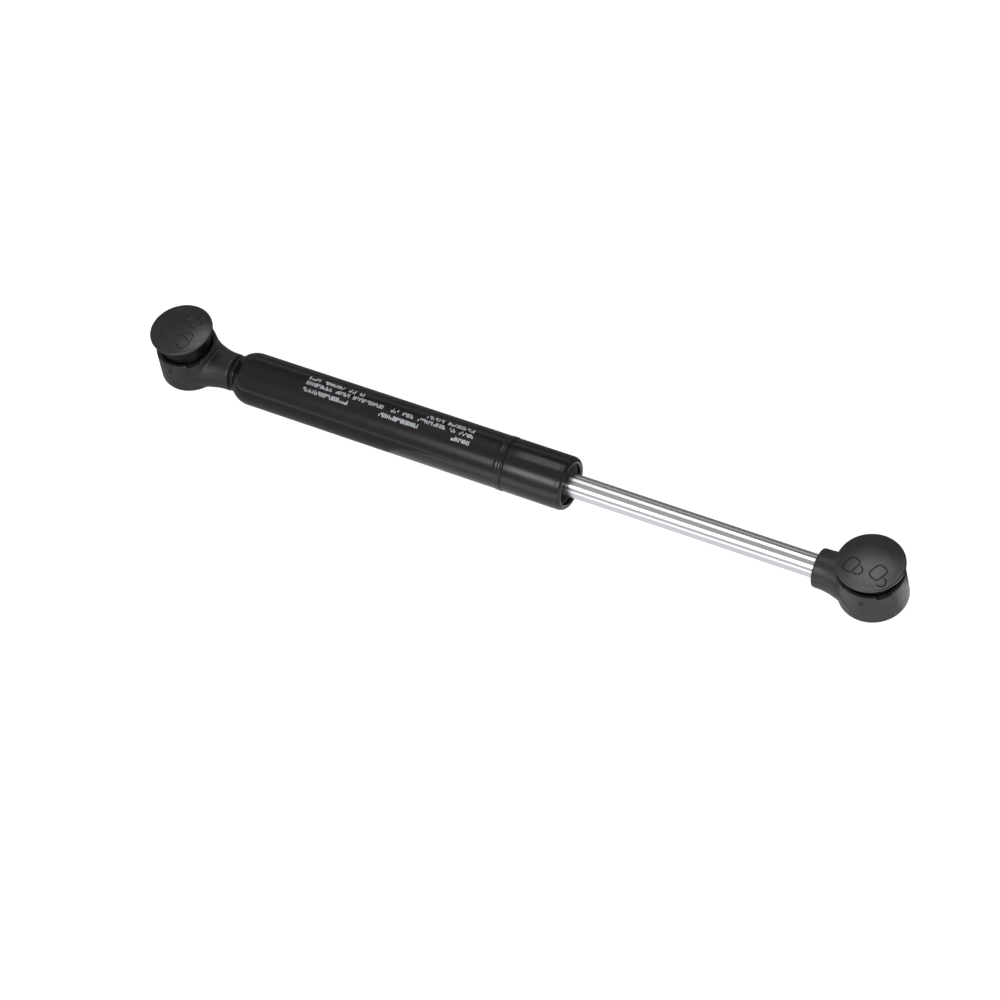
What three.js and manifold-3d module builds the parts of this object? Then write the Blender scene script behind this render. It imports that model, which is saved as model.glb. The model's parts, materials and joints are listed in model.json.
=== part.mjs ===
// Gas strut stay: a sealed gas spring with a plastic ball socket screwed on each end.
// Units are millimetres and +Z is up. The strut lies along X, and the origin is the centre of the
// ball that the cylinder-end socket holds. +X runs towards the rod end. The locking caps face +Z
// and the ball studs come in from -Z. The strut is fully extended, and its stroke is 80 mm.

import * as THREE from 'three';
import { mergeVertices } from 'three/addons/utils/BufferGeometryUtils.js';
import Module from 'manifold-3d';

// Driving dimensions of the strut
const BALL_TO_BALL = 256;
const TUBE_RADIUS = 9.25;
const TUBE_WALL = 1;
const TUBE_START = 21.1;
const TUBE_END = 149.1;
const ROD_RADIUS = 4;
const GAP = 0.3;

// Shape of the tube's closed end, its rolled groove and its rolled mouth
const CLOSED_END_RADIUS = 6.2;
const SHOULDER_LENGTH = 5.4;
const SHOULDER_POWER = 1.8;
const GROOVE_X = 127.1;
const GROOVE_INNER_RADIUS = 7.75;
const MOUTH_RADIUS = 7.1;
const LIP_LENGTH = 2;

// Driving dimensions of a ball socket, measured from its ball centre
const NECK_END = 18.7;
const NECK_RADIUS = 6.55;
const BODY_BOTTOM = -4.5;
const BODY_TOP = 8.1;
const BODY_BOTTOM_RADIUS = 11.5;
const BODY_TOP_RADIUS = 10.65;
const BALL_RADIUS = 5.05;
const CUP_RADIUS = 7.1;
const CUP_SEAT = -3.3;
const CHANNEL_FLOOR = -1.2;
const CHANNEL_RADIUS = 9.75;
const RIM_LIP_RADIUS = 9.3;
const RIM_LIP_BASE = 6.9;
const BORE_START = 10.3;
const BORE_RADIUS = 5.7;
const BORE_LIP = 1.1;
const THREAD_CLEARANCE_RADIUS = 4.35;
const NOTCH_WIDTH = 5;
const NOTCH_DEPTH = 0.8;

// Driving dimensions of a locking cap, measured from its rim
const CAP_RADIUS = 11;
const CAP_RIM_THICKNESS = 1;
const CAP_DOME = 1.3;
const SKIRT_RADIUS = 9.05;
const SKIRT_BORE = 7.4;
const SKIRT_DEPTH = 10.1;
const RIM_HEIGHT_RAISED = 15.6;
const RIM_HEIGHT_HALF = 12.7;

const FINE = 32;
const COARSE = 20;

const wasm = await Module();
wasm.setup();

// Finishes

const finish = (color, roughness, metalness) => new THREE.MeshStandardMaterial({ color, roughness, metalness });
const PAINT = () => finish(0x17181a, 0.38, 0.2);
const CHROME = () => finish(0xdfe1e4, 0.08, 1);
const STEEL = () => finish(0x9a9da1, 0.35, 1);
const BRASS = () => finish(0xb79a5a, 0.35, 1);
const NYLON = () => finish(0x2b2c2e, 0.55, 0);
const DARK_NYLON = () => finish(0x101112, 0.3, 0);
const ACETAL = () => finish(0xd9d6cc, 0.45, 0);
const RUBBER = () => finish(0x161616, 0.8, 0);

// Geometry helpers

function signedVolume(geometry) {
  const position = geometry.getAttribute('position');
  const index = geometry.getIndex().array;
  const corners = [new THREE.Vector3(), new THREE.Vector3(), new THREE.Vector3()];
  let volume = 0;
  for (let i = 0; i < index.length; i += 3) {
    corners.forEach((corner, k) => corner.fromBufferAttribute(position, index[i + k]));
    volume += corners[0].dot(corners[1].clone().cross(corners[2])) / 6;
  }
  return volume;
}

// Merges shared corners, drops triangles that collapsed on the axis and turns the faces outwards.
function closed(geometry) {
  geometry.deleteAttribute('normal');
  geometry.deleteAttribute('uv');
  const merged = mergeVertices(geometry, 1e-4);
  const source = merged.getIndex().array;
  const kept = [];
  for (let i = 0; i < source.length; i += 3) {
    const [a, b, c] = [source[i], source[i + 1], source[i + 2]];
    if (a !== b && b !== c && c !== a) kept.push(a, b, c);
  }
  merged.setIndex(kept);
  if (signedVolume(merged) < 0) merged.setIndex(kept.reverse());
  return merged;
}

function toSolid(geometry) {
  const source = closed(geometry);
  const mesh = new wasm.Mesh({
    numProp: 3,
    vertProperties: new Float32Array(source.getAttribute('position').array),
    triVerts: new Uint32Array(source.getIndex().array),
  });
  return new wasm.Manifold(mesh);
}

function toGeometry(solid) {
  const mesh = solid.getMesh();
  const geometry = new THREE.BufferGeometry();
  geometry.setAttribute('position', new THREE.BufferAttribute(mesh.vertProperties, 3));
  geometry.setIndex(new THREE.BufferAttribute(mesh.triVerts, 1));
  return geometry;
}

// A profile of [radius, height] points turned about Z. It starts and ends on the axis or closes.
function turnedAboutZ(profile, segments) {
  const points = profile.map(([radius, height]) => new THREE.Vector2(radius, height));
  return new THREE.LatheGeometry(points, segments).rotateX(Math.PI / 2);
}

// A profile of [x, radius] points turned about X.
function turnedAboutX(profile, segments) {
  const points = profile.map(([x, radius]) => new THREE.Vector2(radius, x));
  return new THREE.LatheGeometry(points, segments).rotateZ(-Math.PI / 2);
}

const close = (profile) => [...profile, profile[0]];

// A round-cornered ring about X between two ends and two radii.
function ring(start, end, innerRadius, outerRadius, chamfer = 0.2) {
  return turnedAboutX(close([
    [start, innerRadius],
    [start, outerRadius - chamfer],
    [start + chamfer, outerRadius],
    [end - chamfer, outerRadius],
    [end, outerRadius - chamfer],
    [end, innerRadius],
  ]), COARSE);
}

// Points on a stretch of an ellipse, from one angle to another, in degrees.
function arc(centre, radii, fromDegrees, toDegrees, steps) {
  return Array.from({ length: steps + 1 }, (_, i) => {
    const angle = THREE.MathUtils.degToRad(THREE.MathUtils.lerp(fromDegrees, toDegrees, i / steps));
    return [centre[0] + radii[0] * Math.cos(angle), centre[1] + radii[1] * Math.sin(angle)];
  });
}

function piece(name, geometry, material) {
  const mesh = new THREE.Mesh(closed(geometry), material);
  mesh.name = name;
  return mesh;
}

// The gas spring's cylinder

// Spun shoulder: the radius at a share of its length, between the hole and the full tube.
function shoulder(startX, startRadius, endX, endRadius) {
  const steps = 8;
  return Array.from({ length: steps + 1 }, (_, i) => {
    const share = 1 - Math.cos((i / steps) * Math.PI / 2);
    const rise = (1 - (1 - share) ** SHOULDER_POWER) ** (1 / SHOULDER_POWER);
    return [THREE.MathUtils.lerp(startX, endX, share), THREE.MathUtils.lerp(startRadius, endRadius, rise)];
  });
}

function cylinderTube() {
  const shoulderEnd = TUBE_START + SHOULDER_LENGTH;
  const innerRadius = TUBE_RADIUS - TUBE_WALL;
  const lipRadius = TUBE_RADIUS - MOUTH_RADIUS - 0.25;
  const outside = [
    ...shoulder(TUBE_START, CLOSED_END_RADIUS, shoulderEnd, TUBE_RADIUS),
    [GROOVE_X - 5, TUBE_RADIUS],
    [GROOVE_X - 2.6, TUBE_RADIUS + 0.12],
    [GROOVE_X - 1.5, TUBE_RADIUS + 0.17],
    [GROOVE_X - 0.6, TUBE_RADIUS - 0.1],
    [GROOVE_X + 0.2, TUBE_RADIUS - 0.16],
    [GROOVE_X + 2, TUBE_RADIUS],
    ...arc([TUBE_END - LIP_LENGTH, TUBE_RADIUS - lipRadius], [LIP_LENGTH, lipRadius], 90, 0, 5),
  ];
  const inside = [
    [TUBE_END - 0.25, MOUTH_RADIUS],
    [TUBE_END - TUBE_WALL, MOUTH_RADIUS],
    [TUBE_END - TUBE_WALL - 0.3, innerRadius],
    [GROOVE_X + 1.4, innerRadius],
    [GROOVE_X + 0.6, GROOVE_INNER_RADIUS],
    [GROOVE_X - 0.6, GROOVE_INNER_RADIUS],
    [GROOVE_X - 1.4, innerRadius],
    ...shoulder(TUBE_START + TUBE_WALL, CLOSED_END_RADIUS - TUBE_WALL, shoulderEnd, innerRadius).reverse(),
    [TUBE_START, CLOSED_END_RADIUS - TUBE_WALL],
  ];
  return piece('cylinder_tube', turnedAboutX(close([...outside, ...inside]), FINE), PAINT());
}

// Closes the tube's blind end and carries the threaded stud that the socket screws on to.
const PLUG_RADIUS = 7.9;
const PLUG_GROOVE_START = 26.3;
const PLUG_GROOVE_END = 27.9;
const PLUG_GROOVE_RADIUS = 6.7;
const STUD_TIP = 10.8;
const THREAD_RADIUS = 3.85;

function endPlug() {
  const profile = [
    [STUD_TIP, 0],
    [STUD_TIP, THREAD_RADIUS - 0.6],
    [STUD_TIP + 0.6, THREAD_RADIUS],
    [NECK_END - BORE_LIP, THREAD_RADIUS],
    [NECK_END - BORE_LIP + 0.15, ROD_RADIUS],
    [TUBE_START + 0.2, ROD_RADIUS],
    [TUBE_START + 0.2, 4.9],
    [TUBE_START + 1.4, 4.9],
    [TUBE_START + 2.3, 6.1],
    [TUBE_START + 4.5, 7.3],
    [PLUG_GROOVE_START - 0.4, PLUG_RADIUS],
    [PLUG_GROOVE_START, PLUG_RADIUS],
    [PLUG_GROOVE_START, PLUG_GROOVE_RADIUS],
    [PLUG_GROOVE_END, PLUG_GROOVE_RADIUS],
    [PLUG_GROOVE_END, PLUG_RADIUS],
    [PLUG_GROOVE_END + 0.8, PLUG_RADIUS],
    [PLUG_GROOVE_END + 1, PLUG_RADIUS - 0.2],
    [PLUG_GROOVE_END + 1, 0],
  ];
  return piece('end_plug', turnedAboutX(profile, COARSE), STEEL());
}

function oRing(name, start, end, innerRadius, outerRadius) {
  const centre = [(start + end) / 2, (innerRadius + outerRadius) / 2];
  const radii = [(end - start) / 2, (outerRadius - innerRadius) / 2];
  const section = arc(centre, radii, 0, 360, 8).slice(0, -1);
  return piece(name, turnedAboutX(close(section), COARSE), RUBBER());
}

// Washer between the tube's blind end and the socket's neck, with a groove left by the neck.
const COLLAR_OFFSET = 1.05;

function endCollar() {
  const start = NECK_END + COLLAR_OFFSET;
  const end = TUBE_START - GAP;
  return piece('end_collar', ring(start, end, THREAD_CLEARANCE_RADIUS, NECK_RADIUS - 0.05), PAINT());
}

// Guide and seal stack, from the mouth inwards: guide with its bush, seal, washer, stop sleeve
const STACK_RADIUS = 7.9;
const GUIDE_END = TUBE_END - 1.4;
const GUIDE_START = GUIDE_END - 9;
const GUIDE_DISH = 2.4;
const GUIDE_GROOVE_START = GUIDE_START + 2.8;
const GUIDE_GROOVE_END = GUIDE_GROOVE_START + 2;
const GUIDE_GROOVE_RADIUS = 6.6;
const BUSH_RADIUS = 5.3;
const BUSH_BORE = ROD_RADIUS + 0.1;
const BUSH_START = GUIDE_START + 0.7;
const BUSH_END = GUIDE_END - GUIDE_DISH - 0.9;
const SEAL_END = GUIDE_START - GAP;
const SEAL_START = SEAL_END - 5.5;
const BACKING_WASHER_END = SEAL_START - GAP;
const BACKING_WASHER_START = BACKING_WASHER_END - 1.3;
const STOP_SLEEVE_END = BACKING_WASHER_START - GAP;
const STOP_FACE = STOP_SLEEVE_END - 6.1;

function rodGuide() {
  const bushBore = BUSH_RADIUS + GAP;
  const profile = [
    [GUIDE_START, bushBore],
    [GUIDE_START, STACK_RADIUS],
    [GUIDE_GROOVE_START, STACK_RADIUS],
    [GUIDE_GROOVE_START, GUIDE_GROOVE_RADIUS],
    [GUIDE_GROOVE_END, GUIDE_GROOVE_RADIUS],
    [GUIDE_GROOVE_END, STACK_RADIUS],
    [GUIDE_END - 0.4, STACK_RADIUS],
    [GUIDE_END, STACK_RADIUS - 0.4],
    [GUIDE_END, 6.5],
    [GUIDE_END - GUIDE_DISH, 5.2],
    [GUIDE_END - GUIDE_DISH, THREAD_CLEARANCE_RADIUS],
    [BUSH_END + GAP, THREAD_CLEARANCE_RADIUS],
    [BUSH_END + GAP, bushBore],
  ];
  return piece('rod_guide', turnedAboutX(close(profile), COARSE), DARK_NYLON());
}

function guideBush() {
  const profile = [
    [BUSH_START, BUSH_BORE],
    [BUSH_START, BUSH_RADIUS],
    [BUSH_END, BUSH_RADIUS],
    [BUSH_END, BUSH_BORE],
  ];
  return piece('guide_bush', turnedAboutX(close(profile), FINE), BRASS());
}

// Lip seal: its inner lip grips the rod, and its outer lip presses on the tube.
function rodSeal() {
  const lipRoot = SEAL_START + 2;
  const profile = [
    [SEAL_END, BUSH_BORE + 0.15],
    [lipRoot - 0.4, BUSH_BORE + 0.15],
    [SEAL_START, BUSH_BORE],
    [SEAL_START, 4.9],
    [lipRoot, 5.5],
    [lipRoot, 6.4],
    [SEAL_START, 7.1],
    [SEAL_START, STACK_RADIUS],
    [SEAL_END, STACK_RADIUS],
  ];
  return piece('rod_seal', turnedAboutX(close(profile), FINE), RUBBER());
}

function sealBackingWasher() {
  const washer = ring(BACKING_WASHER_START, BACKING_WASHER_END, 4.5, STACK_RADIUS);
  return piece('seal_backing_washer', washer, STEEL());
}

// Reaches through the tube's groove and stops the piston at full extension.
function stopSleeve() {
  const bore = 4.6;
  const nose = GROOVE_INNER_RADIUS - 0.45;
  const profile = [
    [STOP_FACE, bore],
    [STOP_FACE, nose],
    [GROOVE_X + 1.1, nose],
    [GROOVE_X + 1.7, STACK_RADIUS],
    [STOP_SLEEVE_END, STACK_RADIUS],
    [STOP_SLEEVE_END, bore],
  ];
  return piece('stop_sleeve', turnedAboutX(close(profile), COARSE), ACETAL());
}

// Rod and piston, from the stop inwards: washer, piston with its ring, washer, nut

const SPIGOT_RADIUS = 3;
const PISTON_BORE = SPIGOT_RADIUS + GAP;
const PISTON_RADIUS = 8;
const FRONT_WASHER_END = STOP_FACE - GAP;
const FRONT_WASHER_START = FRONT_WASHER_END - 1.4;
const PISTON_END = FRONT_WASHER_START - GAP;
const PISTON_START = PISTON_END - 8.9;
const RING_GROOVE_RADIUS = 6.4;
const RING_START = PISTON_START + 3.3;
const RING_END = RING_START + 2.4;
const REAR_WASHER_END = PISTON_START - GAP;
const REAR_WASHER_START = REAR_WASHER_END - 1.3;
const NUT_END = REAR_WASHER_START - GAP;
const PISTON_TAIL = NUT_END - 1.9;

function pistonRod() {
  const neckFace = BALL_TO_BALL - NECK_END;
  const threadEnd = BALL_TO_BALL - STUD_TIP;
  const profile = [
    [PISTON_TAIL, 0],
    [PISTON_TAIL, SPIGOT_RADIUS],
    [STOP_FACE, SPIGOT_RADIUS],
    [STOP_FACE, ROD_RADIUS - 0.3],
    [STOP_FACE + 0.3, ROD_RADIUS],
    [neckFace + BORE_LIP, ROD_RADIUS],
    [neckFace + BORE_LIP + 0.15, THREAD_RADIUS],
    [threadEnd - 0.6, THREAD_RADIUS],
    [threadEnd, THREAD_RADIUS - 0.6],
    [threadEnd, 0],
  ];
  return piece('piston_rod', turnedAboutX(profile, FINE), CHROME());
}

function pistonFrontWasher() {
  const washer = ring(FRONT_WASHER_START, FRONT_WASHER_END, PISTON_BORE, 6.6);
  return piece('piston_front_washer', washer, STEEL());
}

function piston() {
  const profile = [
    [PISTON_START, PISTON_BORE],
    [PISTON_START, PISTON_RADIUS - 0.6],
    [PISTON_START + 0.6, PISTON_RADIUS],
    [RING_START - GAP, PISTON_RADIUS],
    [RING_START - GAP, RING_GROOVE_RADIUS],
    [RING_END + GAP, RING_GROOVE_RADIUS],
    [RING_END + GAP, PISTON_RADIUS],
    [PISTON_END - 0.6, PISTON_RADIUS],
    [PISTON_END, PISTON_RADIUS - 0.6],
    [PISTON_END, PISTON_BORE],
  ];
  return piece('piston', turnedAboutX(close(profile), COARSE), ACETAL());
}

// Slides on the tube wall with a running clearance of 0.05 mm, and the piston turns inside it.
function pistonRing() {
  const outerRadius = TUBE_RADIUS - TUBE_WALL - 0.05;
  const profile = [
    [RING_START, RING_GROOVE_RADIUS + GAP],
    [RING_START, outerRadius],
    [RING_END, outerRadius],
    [RING_END, RING_GROOVE_RADIUS + GAP],
  ];
  return piece('piston_ring', turnedAboutX(close(profile), FINE), RUBBER());
}

function pistonRearWasher() {
  const washer = ring(REAR_WASHER_START, REAR_WASHER_END, PISTON_BORE, 6.2);
  return piece('piston_rear_washer', washer, STEEL());
}

function pistonNut() {
  return piece('piston_nut', ring(PISTON_TAIL, NUT_END, PISTON_BORE, 5, 0.4), STEEL());
}

// Ball sockets

const NECK_SEGMENTS = 32;

// Flared web between the round neck and the socket body, as [distance, half width, up, down].
const WEB_SECTIONS = [
  [3, 10.4, 6.3, 4.4],
  [6, 9.7, 6.3, 5.1],
  [8, 8.7, 6.4, 6],
  [10.4, 7.8, 6.5, 6.4],
  [12.6, 7.1, NECK_RADIUS, NECK_RADIUS],
  [15, NECK_RADIUS + 0.1, NECK_RADIUS, NECK_RADIUS],
  [NECK_END - 0.9, NECK_RADIUS, NECK_RADIUS, NECK_RADIUS],
  [NECK_END - 0.26, NECK_RADIUS - 0.26, NECK_RADIUS - 0.26, NECK_RADIUS - 0.26],
  [NECK_END, NECK_RADIUS - 0.9, NECK_RADIUS - 0.9, NECK_RADIUS - 0.9],
];

function neckAndWeb() {
  const positions = [];
  for (const [x, halfWidth, up, down] of WEB_SECTIONS) {
    for (let i = 0; i < NECK_SEGMENTS; i += 1) {
      const angle = (i / NECK_SEGMENTS) * 2 * Math.PI;
      const height = Math.sin(angle) > 0 ? up : down;
      positions.push(x, halfWidth * Math.cos(angle), height * Math.sin(angle));
    }
  }
  const triangles = [];
  const at = (section, i) => section * NECK_SEGMENTS + (i % NECK_SEGMENTS);
  for (let s = 0; s < WEB_SECTIONS.length - 1; s += 1) {
    for (let i = 0; i < NECK_SEGMENTS; i += 1) {
      triangles.push(at(s, i), at(s, i + 1), at(s + 1, i + 1));
      triangles.push(at(s, i), at(s + 1, i + 1), at(s + 1, i));
    }
  }
  const last = WEB_SECTIONS.length - 1;
  const firstCentre = positions.length / 3;
  positions.push(WEB_SECTIONS[0][0], 0, 0, WEB_SECTIONS[last][0], 0, 0);
  for (let i = 0; i < NECK_SEGMENTS; i += 1) {
    triangles.push(firstCentre, at(0, i + 1), at(0, i));
    triangles.push(firstCentre + 1, at(last, i), at(last, i + 1));
  }
  const geometry = new THREE.BufferGeometry();
  geometry.setAttribute('position', new THREE.Float32BufferAttribute(positions, 3));
  geometry.setIndex(triangles);
  return geometry;
}

// Bar across the rim, at an angle from +X, that cuts one pair of release notches.
function notchBar(degrees) {
  const height = 2;
  return new THREE.BoxGeometry(NOTCH_WIDTH, 2 * CAP_RADIUS + 2, height)
    .translate(0, 0, BODY_TOP - NOTCH_DEPTH + height / 2)
    .rotateZ(THREE.MathUtils.degToRad(degrees));
}

function socketHousing(name) {
  const fillet = 0.8;
  const body = turnedAboutZ([
    [0, BODY_BOTTOM],
    ...arc([BODY_BOTTOM_RADIUS - fillet, BODY_BOTTOM + fillet], [fillet, fillet], -90, 0, 3),
    [BODY_TOP_RADIUS, BODY_TOP - 0.3],
    [BODY_TOP_RADIUS - 0.3, BODY_TOP],
    [0, BODY_TOP],
  ], FINE);
  const cavity = turnedAboutZ([
    [0, BODY_BOTTOM - 1],
    [6.9, BODY_BOTTOM - 1],
    [5.4, BODY_BOTTOM + 0.5],
    [5.4, CUP_SEAT],
    [CUP_RADIUS + GAP, CUP_SEAT],
    [CUP_RADIUS + GAP, CHANNEL_FLOOR],
    [CHANNEL_RADIUS, CHANNEL_FLOOR],
    [CHANNEL_RADIUS, RIM_LIP_BASE],
    [RIM_LIP_RADIUS, RIM_LIP_BASE + 0.3],
    [RIM_LIP_RADIUS, BODY_TOP + 1],
    [0, BODY_TOP + 1],
  ], FINE);
  const bore = turnedAboutX([
    [BORE_START, 0],
    [BORE_START, BORE_RADIUS],
    [NECK_END - BORE_LIP, BORE_RADIUS],
    [NECK_END - BORE_LIP, THREAD_CLEARANCE_RADIUS],
    [NECK_END + 1, THREAD_CLEARANCE_RADIUS],
    [NECK_END + 1, 0],
  ], COARSE);
  const solid = toSolid(body)
    .add(toSolid(neckAndWeb()))
    .subtract(toSolid(cavity))
    .subtract(toSolid(bore))
    .subtract(toSolid(notchBar(45)))
    .subtract(toSolid(notchBar(-45)));
  return piece(name, toGeometry(solid), NYLON());
}

// Slotted cup that snaps over the ball.
function ballCup(name) {
  const mouth = THREE.MathUtils.radToDeg(Math.asin(2.2 / BALL_RADIUS));
  const crown = THREE.MathUtils.radToDeg(Math.acos(2 / BALL_RADIUS));
  const seat = CUP_SEAT + GAP;
  const profile = [
    [5.2, seat],
    [CUP_RADIUS, seat],
    [CUP_RADIUS, 3.6],
    [5.6, 5.9],
    [2, 5.9],
    ...arc([0, 0], [BALL_RADIUS, BALL_RADIUS], crown, -mouth, 7),
  ];
  let solid = toSolid(turnedAboutZ(close(profile), FINE));
  for (const degrees of [45, 135, 225, 315]) {
    const slot = new THREE.BoxGeometry(5, 0.9, 6).translate(6.3, 0, seat + 2.5);
    slot.rotateZ(THREE.MathUtils.degToRad(degrees));
    solid = solid.subtract(toSolid(slot));
  }
  return piece(name, toGeometry(solid), ACETAL());
}

function threadInsert(name) {
  const start = BORE_START + GAP;
  const end = NECK_END - BORE_LIP - GAP;
  const profile = [[start, THREAD_RADIUS + GAP], [start, 5.4]];
  for (const middle of [start + 2, end - 2]) {
    profile.push([middle - 0.6, 5.4], [middle - 0.3, 5], [middle + 0.3, 5], [middle + 0.6, 5.4]);
  }
  profile.push([end, 5.4], [end, THREAD_RADIUS + GAP]);
  return piece(name, turnedAboutX(close(profile), COARSE), BRASS());
}

// Domed cap whose skirt slides down round the ball cup and locks it on the ball.
function lockCap(name, rimHeight) {
  const underside = rimHeight - CAP_RIM_THICKNESS;
  const skirtEnd = rimHeight - SKIRT_DEPTH;
  const dome = Array.from({ length: 6 }, (_, i) => {
    const radius = (CAP_RADIUS - 0.5) * (i / 5);
    return [radius, rimHeight + CAP_DOME * (1 - (radius / CAP_RADIUS) ** 2)];
  });
  const profile = [
    ...dome,
    [CAP_RADIUS, rimHeight - 0.2],
    [CAP_RADIUS, underside + 0.2],
    [CAP_RADIUS - 0.3, underside],
    [SKIRT_RADIUS, underside],
    [SKIRT_RADIUS, skirtEnd + 1.1],
    [SKIRT_RADIUS + 0.4, skirtEnd + 0.8],
    [SKIRT_RADIUS + 0.4, skirtEnd],
    [SKIRT_BORE, skirtEnd],
    [SKIRT_BORE, underside + 0.4],
    [0, underside + 0.9],
  ];
  return piece(name, turnedAboutZ(profile, FINE), NYLON());
}

function ballSocket(end, rimHeight) {
  const group = new THREE.Group();
  group.add(socketHousing(`${end}_socket_housing`));
  group.add(ballCup(`${end}_ball_cup`));
  group.add(threadInsert(`${end}_thread_insert`));
  group.add(lockCap(`${end}_lock_cap`, rimHeight));
  return group;
}

const strut = new THREE.Group();
strut.add(
  cylinderTube(),
  endPlug(),
  oRing('end_plug_o_ring', PLUG_GROOVE_START + 0.15, PLUG_GROOVE_END - 0.15, PLUG_GROOVE_RADIUS + 0.15, 8.05),
  endCollar(),
  rodGuide(),
  guideBush(),
  oRing('guide_o_ring', GUIDE_GROOVE_START + 0.2, GUIDE_GROOVE_END - 0.2, GUIDE_GROOVE_RADIUS + 0.15, 8.05),
  rodSeal(),
  sealBackingWasher(),
  stopSleeve(),
  pistonRod(),
  pistonFrontWasher(),
  piston(),
  pistonRing(),
  pistonRearWasher(),
  pistonNut(),
);

const cylinderSocket = ballSocket('cylinder', RIM_HEIGHT_RAISED);
const rodSocket = ballSocket('rod', RIM_HEIGHT_HALF);
rodSocket.position.x = BALL_TO_BALL;
rodSocket.rotation.z = Math.PI;
strut.add(cylinderSocket, rodSocket);

export default strut;
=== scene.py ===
"""The looks of the gas strut stay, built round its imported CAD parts.

Everything is in metres in the CAD frame: X along the strut from the cylinder end to the rod end,
Z towards the locking caps, origin at the cylinder-end ball centre.
"""

import json
import math
import random

import bmesh
import bpy
import numpy as np
from mathutils import Matrix, Vector


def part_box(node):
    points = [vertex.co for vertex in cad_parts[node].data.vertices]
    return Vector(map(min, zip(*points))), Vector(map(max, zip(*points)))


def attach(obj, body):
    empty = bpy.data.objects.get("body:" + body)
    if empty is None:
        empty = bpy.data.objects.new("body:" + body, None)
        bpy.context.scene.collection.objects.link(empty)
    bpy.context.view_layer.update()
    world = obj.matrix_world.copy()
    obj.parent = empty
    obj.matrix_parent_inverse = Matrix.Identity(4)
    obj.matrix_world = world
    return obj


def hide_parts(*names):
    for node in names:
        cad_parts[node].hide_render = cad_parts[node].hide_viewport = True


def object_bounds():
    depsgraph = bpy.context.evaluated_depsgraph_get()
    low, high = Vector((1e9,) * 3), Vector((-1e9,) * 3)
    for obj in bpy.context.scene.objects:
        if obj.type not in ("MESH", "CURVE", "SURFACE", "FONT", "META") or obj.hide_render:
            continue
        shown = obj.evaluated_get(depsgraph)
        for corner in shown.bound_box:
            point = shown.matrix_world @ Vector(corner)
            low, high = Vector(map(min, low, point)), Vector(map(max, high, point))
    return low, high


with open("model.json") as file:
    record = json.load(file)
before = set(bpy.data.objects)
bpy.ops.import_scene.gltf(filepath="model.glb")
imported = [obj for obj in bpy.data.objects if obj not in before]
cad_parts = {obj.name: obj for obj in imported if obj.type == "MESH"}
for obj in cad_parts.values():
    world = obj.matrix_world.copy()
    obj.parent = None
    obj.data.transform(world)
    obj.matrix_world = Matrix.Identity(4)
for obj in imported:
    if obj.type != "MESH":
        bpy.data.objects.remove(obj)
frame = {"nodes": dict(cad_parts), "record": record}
cad_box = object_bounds()

MM = 0.001
PRINT_SEED = 8185

# ---------------------------------------------------------------- dimensions read from the CAD frame

tube_low, tube_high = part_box("cylinder_tube")
rod_low, rod_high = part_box("piston_rod")
collar_low, collar_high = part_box("end_collar")
guide_low, guide_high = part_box("rod_guide")
housing_low, housing_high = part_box("cylinder_socket_housing")
rod_housing_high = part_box("rod_socket_housing")[1]
cup_low, cup_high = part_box("cylinder_ball_cup")

BEAD_HEIGHT = 0.17 * MM
TUBE_RADIUS = tube_high.y - BEAD_HEIGHT
TUBE_WALL = 1.0 * MM
ROD_RADIUS = rod_high.y
BODY_BOTTOM_RADIUS = housing_high.y
BODY_TOP_RADIUS = BODY_BOTTOM_RADIUS - 0.85 * MM
BODY_BOTTOM = -4.5 * MM
BODY_TOP = housing_high.z
NECK_END = housing_high.x
NECK_RADIUS = -housing_low.z
BALL_TO_BALL = rod_housing_high.x - BODY_BOTTOM_RADIUS


# ---------------------------------------------------------------- mesh helpers

def new_object(name, mesh):
    made = bpy.data.objects.new(name, mesh)
    bpy.context.scene.collection.objects.link(made)
    return made


def mesh_object(name, points, faces):
    mesh = bpy.data.meshes.new(name)
    mesh.from_pydata([tuple(p) for p in points], [], faces)
    mesh.validate()
    mesh.update()
    return new_object(name, mesh)


def shade(piece, degrees=32):
    """Smooth shading that keeps the edges sharper than the angle."""
    piece.data.shade_smooth()
    piece.data.set_sharp_from_angle(angle=math.radians(degrees))
    return piece


def lathe(name, profile, segments, axis="x"):
    """Turns a profile of [station along the axis, radius] points about the axis.

    The profile closes on itself, or it starts and ends on the axis.
    """
    points = []
    rings = []
    for station, radius in profile:
        if radius < 1e-9:
            rings.append([len(points)])
            points.append((station, 0.0, 0.0))
            continue
        rings.append(list(range(len(points), len(points) + segments)))
        for i in range(segments):
            turn = 2 * math.pi * i / segments
            points.append((station, radius * math.cos(turn), radius * math.sin(turn)))
    on_axis = len(rings[0]) == 1
    pairs = list(zip(rings, rings[1:])) + ([] if on_axis else [(rings[-1], rings[0])])
    faces = []
    for a, b in pairs:
        for i in range(segments):
            j = (i + 1) % segments
            corners = [a[i % len(a)], b[i % len(b)], b[j % len(b)], a[j % len(a)]]
            corners = [c for k, c in enumerate(corners) if c not in corners[:k]]
            if len(corners) > 2:
                faces.append(corners)
    if axis == "z":
        points = [(y, z, x) for x, y, z in points]
    made = mesh_object(name, points, faces)
    outward(made)
    return made


def outward(piece):
    """Turns every face of a closed mesh outwards."""
    shape = bmesh.new()
    shape.from_mesh(piece.data)
    bmesh.ops.recalc_face_normals(shape, faces=shape.faces)
    if shape.calc_volume(signed=True) < 0:
        bmesh.ops.reverse_faces(shape, faces=shape.faces)
    shape.to_mesh(piece.data)
    shape.free()


def ellipse_arc(centre, radii, from_degrees, to_degrees, steps):
    turns = np.radians(np.linspace(from_degrees, to_degrees, steps + 1))
    return [[centre[0] + radii[0] * math.cos(t), centre[1] + radii[1] * math.sin(t)] for t in turns]


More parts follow.
